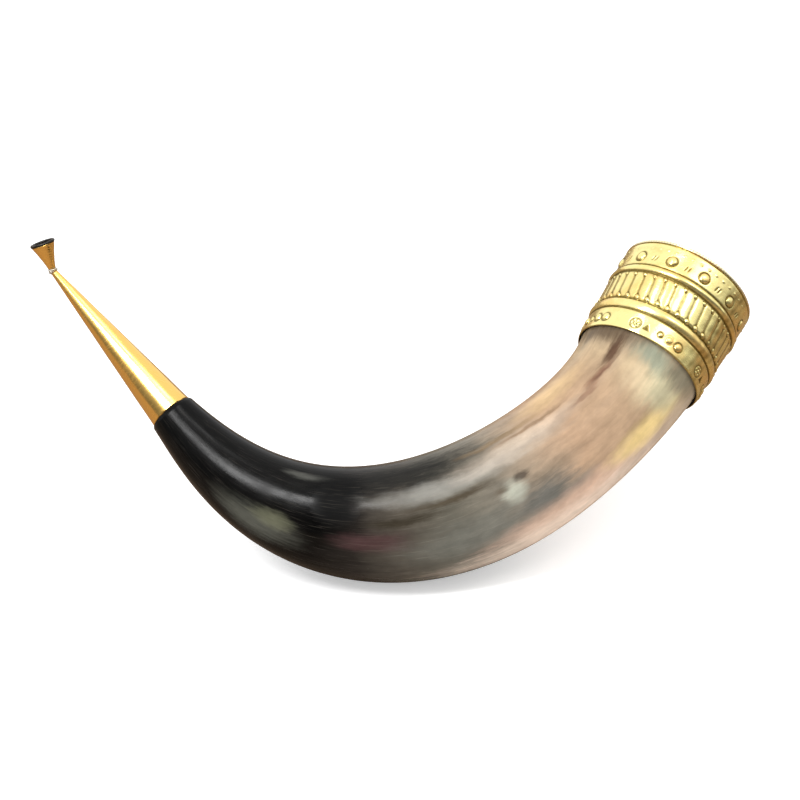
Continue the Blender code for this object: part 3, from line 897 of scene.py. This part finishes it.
class MakeHorn(bpy.types.Operator):
    """Makes the ox horn, from its rounded tip to the edge under the collar, with its cavity and socket"""
    bl_idname = "blowing_horn.make_horn"
    bl_label = "Make Horn"

    def execute(self, context):
        settings = context.scene.horn_settings
        sides = settings.sides
        angle = round_angles(sides)
        end = 1.0 + BELL_LENGTH / HORN_LENGTH

        outside = np.linspace(TIP_ROUNDING / HORN_LENGTH, end, settings.rings)[:, None]
        fade = smooth_step(outside, 0.0, 0.03)
        outside_radius = outer_radius(outside) - POLISH - fade * scraped(angle, outside, settings)
        outside_radius = outside_radius - scar(angle, outside, settings)

        deep = SOCKET_DEPTH / HORN_LENGTH
        inside = np.concatenate([np.linspace(end, CAVITY_START, 80),
                                 np.linspace(CAVITY_START, BORE_START, 8)[1:], [deep, deep, 0.0]])
        inside_radius = hollow_radius(inside)
        inside_radius[-2:] = TENON_RADIUS + GAP + CORK_THICKNESS + GAP

        rounding = np.radians(np.linspace(90.0, 0.0, 8))[1:]
        tip = TIP_ROUNDING * (1 - np.cos(rounding)) / HORN_LENGTH
        tip_radius = OUTER_RADII[0] - TIP_ROUNDING * (1 - np.sin(rounding)) - POLISH

        share = np.concatenate([outside[:, 0], inside, tip])
        plain_radius = all_round(np.append(inside_radius, tip_radius), sides)
        is_inside = np.repeat([0.0, 1.0, 0.0], [len(outside), len(inside), len(tip)])
        grain = np.stack(np.broadcast_arrays(GRAIN_RADIUS * np.cos(angle), GRAIN_RADIUS * np.sin(angle),
                                             HORN_LENGTH * share[:, None]), axis=-1)
        rings = tube(share, np.concatenate([outside_radius, plain_radius]), sides) + horn_place()
        piece = skin("horn", rings, horn_finish(settings), sharp=50.0, grain=grain,
                     share=all_round(share, sides), inside=all_round(is_inside, sides))
        belongs(piece, "horn", "horn", "horn_shell")
        return {"FINISHED"}


class MakeCollar(bpy.types.Operator):
    """Makes the embossed brass collar, whose top is turned in over the horn's edge"""
    bl_idname = "blowing_horn.make_collar"
    bl_label = "Make Collar"

    def execute(self, context):
        settings = context.scene.collar_settings
        angle = round_angles(settings.sides)
        top = BELL_LENGTH + GAP + SHEET
        height = np.linspace(0.0, top - HEM_RADIUS, settings.rows)[:, None]
        relief = collar_relief(height, angle, settings)
        outer = np.hstack([collar_inner(height) + SHEET, height])

        edge = collar_inner(top) + SHEET - EASE
        fold = bell_throat(BELL_LENGTH) - SHEET + HEM_RADIUS
        hem = BELL_LENGTH - TURN_IN_DEPTH
        hem_outer = bell_throat(hem)
        under_sheet = BELL_LENGTH + GAP
        under = np.linspace(BELL_LENGTH, 0.0, 8)
        plain = np.concatenate([
            arc((edge - HEM_RADIUS, top - HEM_RADIUS), HEM_RADIUS, 20.0, 90.0, 4),
            [(fold, top)],
            arc((fold, top - HEM_RADIUS), HEM_RADIUS, 110.0, 180.0, 4),
            [(hem_outer - SHEET, hem + EASE), (hem_outer - SHEET / 2, hem), (hem_outer, hem + EASE),
             (bell_throat(BELL_LENGTH), under_sheet), (collar_inner(under_sheet), under_sheet)],
            np.stack([collar_inner(under), under], axis=-1)])
        uneven = relief + dents(angle, height, settings.dent_depth)
        # A painted dark reflection on the collar's right side, broken into blotches, goes in with the
        # tarnish.
        blotches = 0.5 + 0.5 * np.sin(19 * angle + 260 * height) * np.sin(31 * angle - 410 * height)
        place, half_width, strength = PAINTED_DARK_REFLECTION
        painted_dark_reflection = strength * bell_curve(angle - np.radians(place), np.radians(half_width)) * blotches
        finish = brass_finish("embossed_brass", context.scene.finish_settings, worn=0.6)
        hollow = np.maximum(hollowness(relief), painted_dark_reflection)
        turn_piece("bell_collar_embossed", bell_axis(), np.concatenate([outer, plain]), uneven, finish,
                   ("horn", "brass", "bell_collar"), hollow=hollow, sharp=70.0)
        return {"FINISHED"}


def bead_profile(inner, outer, bottom, height, crown, dip):
    """A flat foot under two arcs that meet in a rounded top. dip is how far past level the arcs start."""
    middle = bottom + height - crown
    return np.concatenate([
        [(inner + EASE, bottom), (outer - EASE, bottom)],
        arc((outer - crown, middle), crown, -dip, 85.0, 9),
        arc((inner + crown, middle), crown, 95.0, 180.0 + dip, 9)])


class MakeRimBead(bpy.types.Operator):
    """Makes the bead round the bell's mouth, with the fine nicks of its roller"""
    bl_idname = "blowing_horn.make_rim_bead"
    bl_label = "Make Rim Bead"

    def execute(self, context):
        settings = context.scene.finish_settings
        sides = context.scene.collar_settings.sides
        outer = collar_inner(BELL_LENGTH) + SHEET - POLISH / 2
        inner = outer - RIM_WIDTH + POLISH
        crown = min(RIM_HEIGHT, (outer - inner) / 2) - EASE / 2
        profile = bead_profile(inner, outer, BELL_LENGTH + GAP + SHEET + GAP, RIM_HEIGHT, crown, 20.0)
        count, depth = RIM_NICKS
        facing = np.clip((profile[:, :1] - (inner + outer) / 2) / crown, 0.0, 1.0)
        nicks = facing * (0.5 + 0.5 * np.cos(count * round_angles(sides)))
        finish = brass_finish("rim_brass", settings, settings.pale_brass, worn=0.3, beaten=0.3)
        turn_piece("bell_rim_bead", bell_axis(), profile, -depth * nicks, finish,
                   ("horn", "brass", "bell_rim_ring"), hollow=np.maximum(nicks - 0.55, 0.0))
        return {"FINISHED"}


class MakeNails(bpy.types.Operator):
    """Makes the four domed nails that pass for bosses of the collar's lower band"""
    bl_idname = "blowing_horn.make_nails"
    bl_label = "Make Nails"

    def execute(self, context):
        bell = bell_axis()
        finish = brass_finish("nail_brass", context.scene.finish_settings, worn=0.6, hollows=False)
        seat = collar_inner(NAIL_HEIGHT) + SHEET - EASE / 2
        tip = bell_radius(NAIL_HEIGHT) - NAIL_BITE
        head = context.scene.collar_settings.boss_radius - EASE
        curve = np.radians(np.linspace(0.0, 88.0, 10))
        nearly_nought = 0.00001
        profile = np.concatenate([
            [(nearly_nought, tip), (NAIL_SHANK_RADIUS, tip + NAIL_SHANK_RADIUS), (NAIL_SHANK_RADIUS, seat)],
            np.stack([head * np.cos(curve), seat + NAIL_CROWN * np.sin(curve)], axis=-1),
            [(nearly_nought, seat + NAIL_CROWN)]])
        points = turned(profile, 40, 0.0)
        lying = np.stack([points[..., 2], points[..., 1], -points[..., 0] + NAIL_HEIGHT], axis=-1)
        for index in range(NAIL_COUNT):
            turn = np.radians(NAIL_TURN + 360.0 * index / NAIL_COUNT)
            piece = skin(f"collar_nail_head_{index + 1}", bell.place(spin_about_z(lying, turn)), finish)
            belongs(piece, "horn", "brass", f"collar_nail_{index + 1}")
        return {"FINISHED"}


class MakeCone(bpy.types.Operator):
    """Makes the mouthpiece's long cone of rolled sheet brass, with its seam underneath"""
    bl_idname = "blowing_horn.make_cone"
    bl_label = "Make Cone"

    def execute(self, context):
        settings = context.scene.mouthpiece_settings
        colours = context.scene.finish_settings
        angle = round_angles(settings.sides)
        height = np.linspace(GAP + 0.0003, CONE_LENGTH - EASE, 220)[:, None]
        share = (height - GAP) / (CONE_LENGTH - GAP)
        radius = CONE_BASE_RADIUS + (NECK_RADIUS - CONE_BASE_RADIUS) * share - EASE / 4
        seam = angle_from(angle, CONE_SEAM) * radius
        waver = dents(angle, height * 0.8, settings.waver) * (0.3 + 0.7 * (1 - share))
        waver = waver - settings.seam_rise * bell_curve(seam, 0.0003)
        hole = TENON_RADIUS + GAP
        turned_in = GAP + CONE_WALL
        rest = [(NECK_RADIUS - EASE, CONE_LENGTH), (NECK_RADIUS - CONE_WALL, CONE_LENGTH),
                (CONE_BASE_RADIUS - 2 * CONE_WALL, turned_in), (hole, turned_in), (hole, GAP),
                (CONE_BASE_RADIUS - 2 * EASE, GAP)]
        profile = np.concatenate([np.hstack([radius, height]), rest])
        finish = brass_finish("cone_brass", colours, colours.golden_brass, worn=0.5, beaten=0.12)
        turn_piece("mouthpiece_long_cone", mouth_axis(), profile, waver, finish,
                   ("mouthpiece", "brass", "mouthpiece_cone"), hollow=bell_curve(seam, 0.0004))
        return {"FINISHED"}


class MakeTenon(bpy.types.Operator):
    """Makes the tube that plugs into the horn and the cork sleeve round it"""
    bl_idname = "blowing_horn.make_tenon"
    bl_label = "Make Tenon"

    def execute(self, context):
        colours = context.scene.finish_settings
        angle = round_angles(context.scene.mouthpiece_settings.sides)
        mouth = mouth_axis()
        seat = GAP + CONE_WALL + GAP
        collar = TENON_RADIUS + TENON_COLLAR_WIDTH
        bore = TENON_RADIUS - TENON_WALL
        profile = [(TENON_RADIUS - EASE, -TENON_LENGTH), (TENON_RADIUS, EASE - TENON_LENGTH),
                   (TENON_RADIUS, seat), (collar, seat), (collar, seat + TENON_COLLAR_HEIGHT),
                   (bore, seat + TENON_COLLAR_HEIGHT), (bore, -TENON_LENGTH)]
        finish = brass_finish("tenon_brass", colours, colours.golden_brass, worn=0.5, hollows=False)
        turn_piece("tenon_brass_tube", mouth, profile, 0 * angle, finish,
                   ("mouthpiece", "brass", "tenon_tube"))

        height = np.linspace(-CORK_TOP - CORK_LENGTH, -CORK_TOP, 60)[:, None]
        from_end = np.minimum(height - height[0], height[-1] - height)
        inside = TENON_RADIUS + GAP
        outside = inside + CORK_THICKNESS - CORK_EASE / 2 * (1 - smooth_step(from_end, 0.0, CORK_EASE))
        profile = np.concatenate([np.hstack([outside, height]), [(inside, -CORK_TOP),
                                                                 (inside, -CORK_TOP - CORK_LENGTH)]])
        pits = -CORK_PITS * (1 + np.sin(23 * angle + 900 * height) * np.sin(31 * angle - 1700 * height))
        turn_piece("tenon_cork_sleeve", mouth, profile, pits, cork_finish(colours),
                   ("mouthpiece", "cork", "tenon_cork"))
        return {"FINISHED"}


class MakeNeckSolder(bpy.types.Operator):
    """Makes the lump of solder that joins the cup to the cone"""
    bl_idname = "blowing_horn.make_neck_solder"
    bl_label = "Make Neck Solder"

    def execute(self, context):
        lump = context.scene.mouthpiece_settings.lump
        angle = round_angles(64)
        share = np.linspace(0.0, 1.0, 40)[:, None]
        place, direction = elbow_step(share)
        swell = np.sin(np.pi * share)
        neck = NECK_RADIUS + (CUP_NECK_RADIUS - NECK_RADIUS) * share + ELBOW_SWELL * swell
        lumps = np.sin(3 * angle + 5 * share) * np.sin(2 * angle - 7 * share + 1.0)
        outside = neck * (1 + lump * swell * lumps)
        bore = np.full_like(outside, NECK_RADIUS - CONE_WALL)
        side = np.array([0.0, 1.0, 0.0])
        about = np.cos(angle)[..., None] * side + np.sin(angle)[..., None] * np.cross(direction, side)
        rings = np.concatenate([place + outside[..., None] * about, (place + bore[..., None] * about)[::-1]])
        rings = mouth_axis().place(spin_about_z(rings, np.radians(CUP_CANT_TURN)))
        grey = context.scene.finish_settings.solder
        finish = dull_finish("solder", grey, 0.75, 900.0, 0.40, 0.0002, metallic=1.0)
        belongs(skin("neck_solder_lump", rings, finish), "mouthpiece", "solder", "neck_solder")
        return {"FINISHED"}


class MakeCup(bpy.types.Operator):
    """Makes the funnel-shaped cup of thin brass"""
    bl_idname = "blowing_horn.make_cup"
    bl_label = "Make Cup"

    def execute(self, context):
        colours = context.scene.finish_settings
        sides = context.scene.mouthpiece_settings.sides
        angle = round_angles(sides)
        share = np.linspace(0.0, 1.0, 60)[:, None]
        outside = CUP_NECK_RADIUS + (CUP_MOUTH_RADIUS - CUP_NECK_RADIUS) * share ** CUP_FLARE_POWER
        inside = np.maximum(outside - CUP_WALL, NECK_RADIUS - CONE_WALL)
        height = CUP_LENGTH * share
        profile = np.concatenate([np.hstack([outside, height]), np.hstack([inside, height])[::-1]])
        beaten = -CUP_BEATING * (1 + np.sin(9 * angle + 40 * share) * np.sin(4 * angle - 21 * share))
        beaten = then_plain(beaten, len(share))
        # Painted shade inside the cup, darker towards the neck; the outside has none.
        painted_cup_shade = 0.55 + 0.45 * (1 - share[::-1, 0])
        hollow = all_round(np.append(np.zeros(len(share)), painted_cup_shade), sides)
        finish = brass_finish("cup_brass", colours, colours.golden_brass, worn=0.7, beaten=0.4)
        turn_piece("mouthpiece_funnel_cup", cup_axis(), profile, beaten, finish,
                   ("mouthpiece", "brass", "mouthpiece_cup"), hollow=hollow)
        return {"FINISHED"}


class MakeLipRing(bpy.types.Operator):
    """Makes the dark ring on the cup's mouth"""
    bl_idname = "blowing_horn.make_lip_ring"
    bl_label = "Make Lip Ring"

    def execute(self, context):
        inset = 0.00008
        outer = CUP_MOUTH_RADIUS + LIP_WIDTH / 4 - inset
        inner = outer - LIP_WIDTH + 2 * inset
        profile = bead_profile(inner, outer, CUP_LENGTH + GAP, LIP_HEIGHT - EASE / 2, LIP_CROWN, 30.0)
        angle = round_angles(context.scene.mouthpiece_settings.sides)
        dark = context.scene.finish_settings.lip
        finish = dull_finish("dark_brass", dark, 0.45, 500.0, 0.34, 0.00015, metallic=1.0)
        turn_piece("cup_lip_ring", cup_axis(), profile, 0 * angle, finish,
                   ("mouthpiece", "dark_brass", "lip_ring"))
        return {"FINISHED"}


class FinishPitch(bpy.types.Operator):
    """Gives the bedding under the collar its dark, lumpy pitch"""
    bl_idname = "blowing_horn.finish_pitch"
    bl_label = "Finish Pitch"

    def execute(self, context):
        finish = dull_finish("pitch", context.scene.finish_settings.pitch, 0.5, 300.0, 0.55, 0.0004)
        bpy.data.objects["collar_bedding"].material_slots[0].material = finish
        return {"FINISHED"}


class SetStage(bpy.types.Operator):
    """Sets out the pale floor, the soft lights and the camera"""
    bl_idname = "blowing_horn.set_stage"
    bl_label = "Set Stage"

    def execute(self, context):
        settings = context.scene.stage_settings
        self.lay_floor(settings)
        self.paint_room(context.scene, settings)
        self.hang_boxes(context.scene, settings)
        self.aim_camera(context.scene, settings)
        return {"FINISHED"}

    def lay_floor(self, settings):
        corners = np.array([(-1, -1, 0), (1, -1, 0), (1, 1, 0), (-1, 1, 0)]) * settings.floor_size / 2
        paper = Finish("floor_paper")
        mottle = paper.noise(paper.object_space(), 6.0)
        colour = paper.mix(mottle, shade(settings.floor_colour), shade(settings.floor_colour, 0.985))
        # Reflections see a darker, browner copy of the floor: a painted dark reflection that warms the
        # brass's lower side.
        colour = paper.mix(paper.ray("Glossy"), colour, shade(settings.floor_mirrored))
        glow = paper.maths("MULTIPLY", paper.ray("Camera"), settings.floor_glow)
        finish = paper.finish(Base_Color=colour, Roughness=0.9, Emission_Color=WHITE, Emission_Strength=glow)
        add_mesh("floor", corners, np.array([[0, 1, 2, 3]]), finish, 40.0, {})

    def paint_room(self, scene, settings):
        """A white room: matt surfaces see it evenly bright, and polished ones see it bright above and behind
        and dark low in front, as a studio's white wall and its open side are."""
        world = bpy.data.worlds.new("white_room")
        scene.world = world
        world.use_nodes = True
        world.cycles.sampling_method = "NONE"
        room = Nodes(world.node_tree)
        direction = room.node("ShaderNodeTexCoord").outputs["Generated"]
        split = room.node("ShaderNodeSeparateXYZ", {0: direction})
        wall = room.ranged(room.maths("ADD", split.outputs["Y"], split.outputs["Z"]), *MIRRORED_WALL)
        strength = room.node("ShaderNodeMix", {0: room.ray("Glossy"), 2: settings.sky_strength, 3: wall})
        background = world.node_tree.nodes["Background"]
        room.put(background.inputs["Strength"], strength.outputs[0])
        room.put(background.inputs["Color"], WHITE)
        scene.view_settings.view_transform = "Standard"

    def hang_boxes(self, scene, settings):
        for name, place, turn, size, brightness in SOFT_BOXES:
            box = bpy.data.lights.new(name, "AREA")
            box.shape = "RECTANGLE"
            box.size, box.size_y = size
            box.energy = settings.box_power * brightness * size[0] * size[1]
            holder = bpy.data.objects.new(name, box)
            holder.location = place
            holder.rotation_euler = (0.0, 0.0, float(np.radians(turn)))
            scene.collection.objects.link(holder)

    def aim_camera(self, scene, settings):
        lens = bpy.data.cameras.new("camera")
        lens.lens = settings.lens
        lens.sensor_width = 36.0
        lens.clip_start, lens.clip_end = 0.01, 100.0
        camera = bpy.data.objects.new("camera", lens)
        back = np.array([0.0, -np.cos(settings.camera_elevation), np.sin(settings.camera_elevation)])
        camera.location = np.array(settings.camera_aim) + back * settings.camera_distance
        camera.rotation_euler = (np.pi / 2 - settings.camera_elevation, 0.0, 0.0)
        scene.collection.objects.link(camera)
        scene.camera = camera


# In the order in which they are made.
STEPS = (MakeHorn, FinishPitch, MakeCollar, MakeRimBead, MakeNails, MakeCone, MakeTenon, MakeNeckSolder,
         MakeCup, MakeLipRing, SetStage)


class BlowingHornPanel(bpy.types.Panel):
    """Lists the pieces of the blowing horn"""
    bl_idname = "VIEW3D_PT_blowing_horn"
    bl_label = "Blowing Horn"
    bl_space_type = "VIEW_3D"
    bl_region_type = "UI"
    bl_category = "Blowing Horn"

    def draw(self, context):
        for step in STEPS:
            self.layout.operator(step.bl_idname)


def register():
    for kind in (*SETTINGS.values(), *STEPS, BlowingHornPanel):
        bpy.utils.register_class(kind)
    for label, kind in SETTINGS.items():
        setattr(bpy.types.Scene, label, bpy.props.PointerProperty(type=kind))


def unregister():
    for label in SETTINGS:
        delattr(bpy.types.Scene, label)
    for kind in reversed((*SETTINGS.values(), *STEPS, BlowingHornPanel)):
        bpy.utils.unregister_class(kind)


def main():
    register()
    for step in STEPS:
        group, name = step.bl_idname.split(".")
        getattr(getattr(bpy.ops, group), name)()


if __name__ == "__main__":
    main()
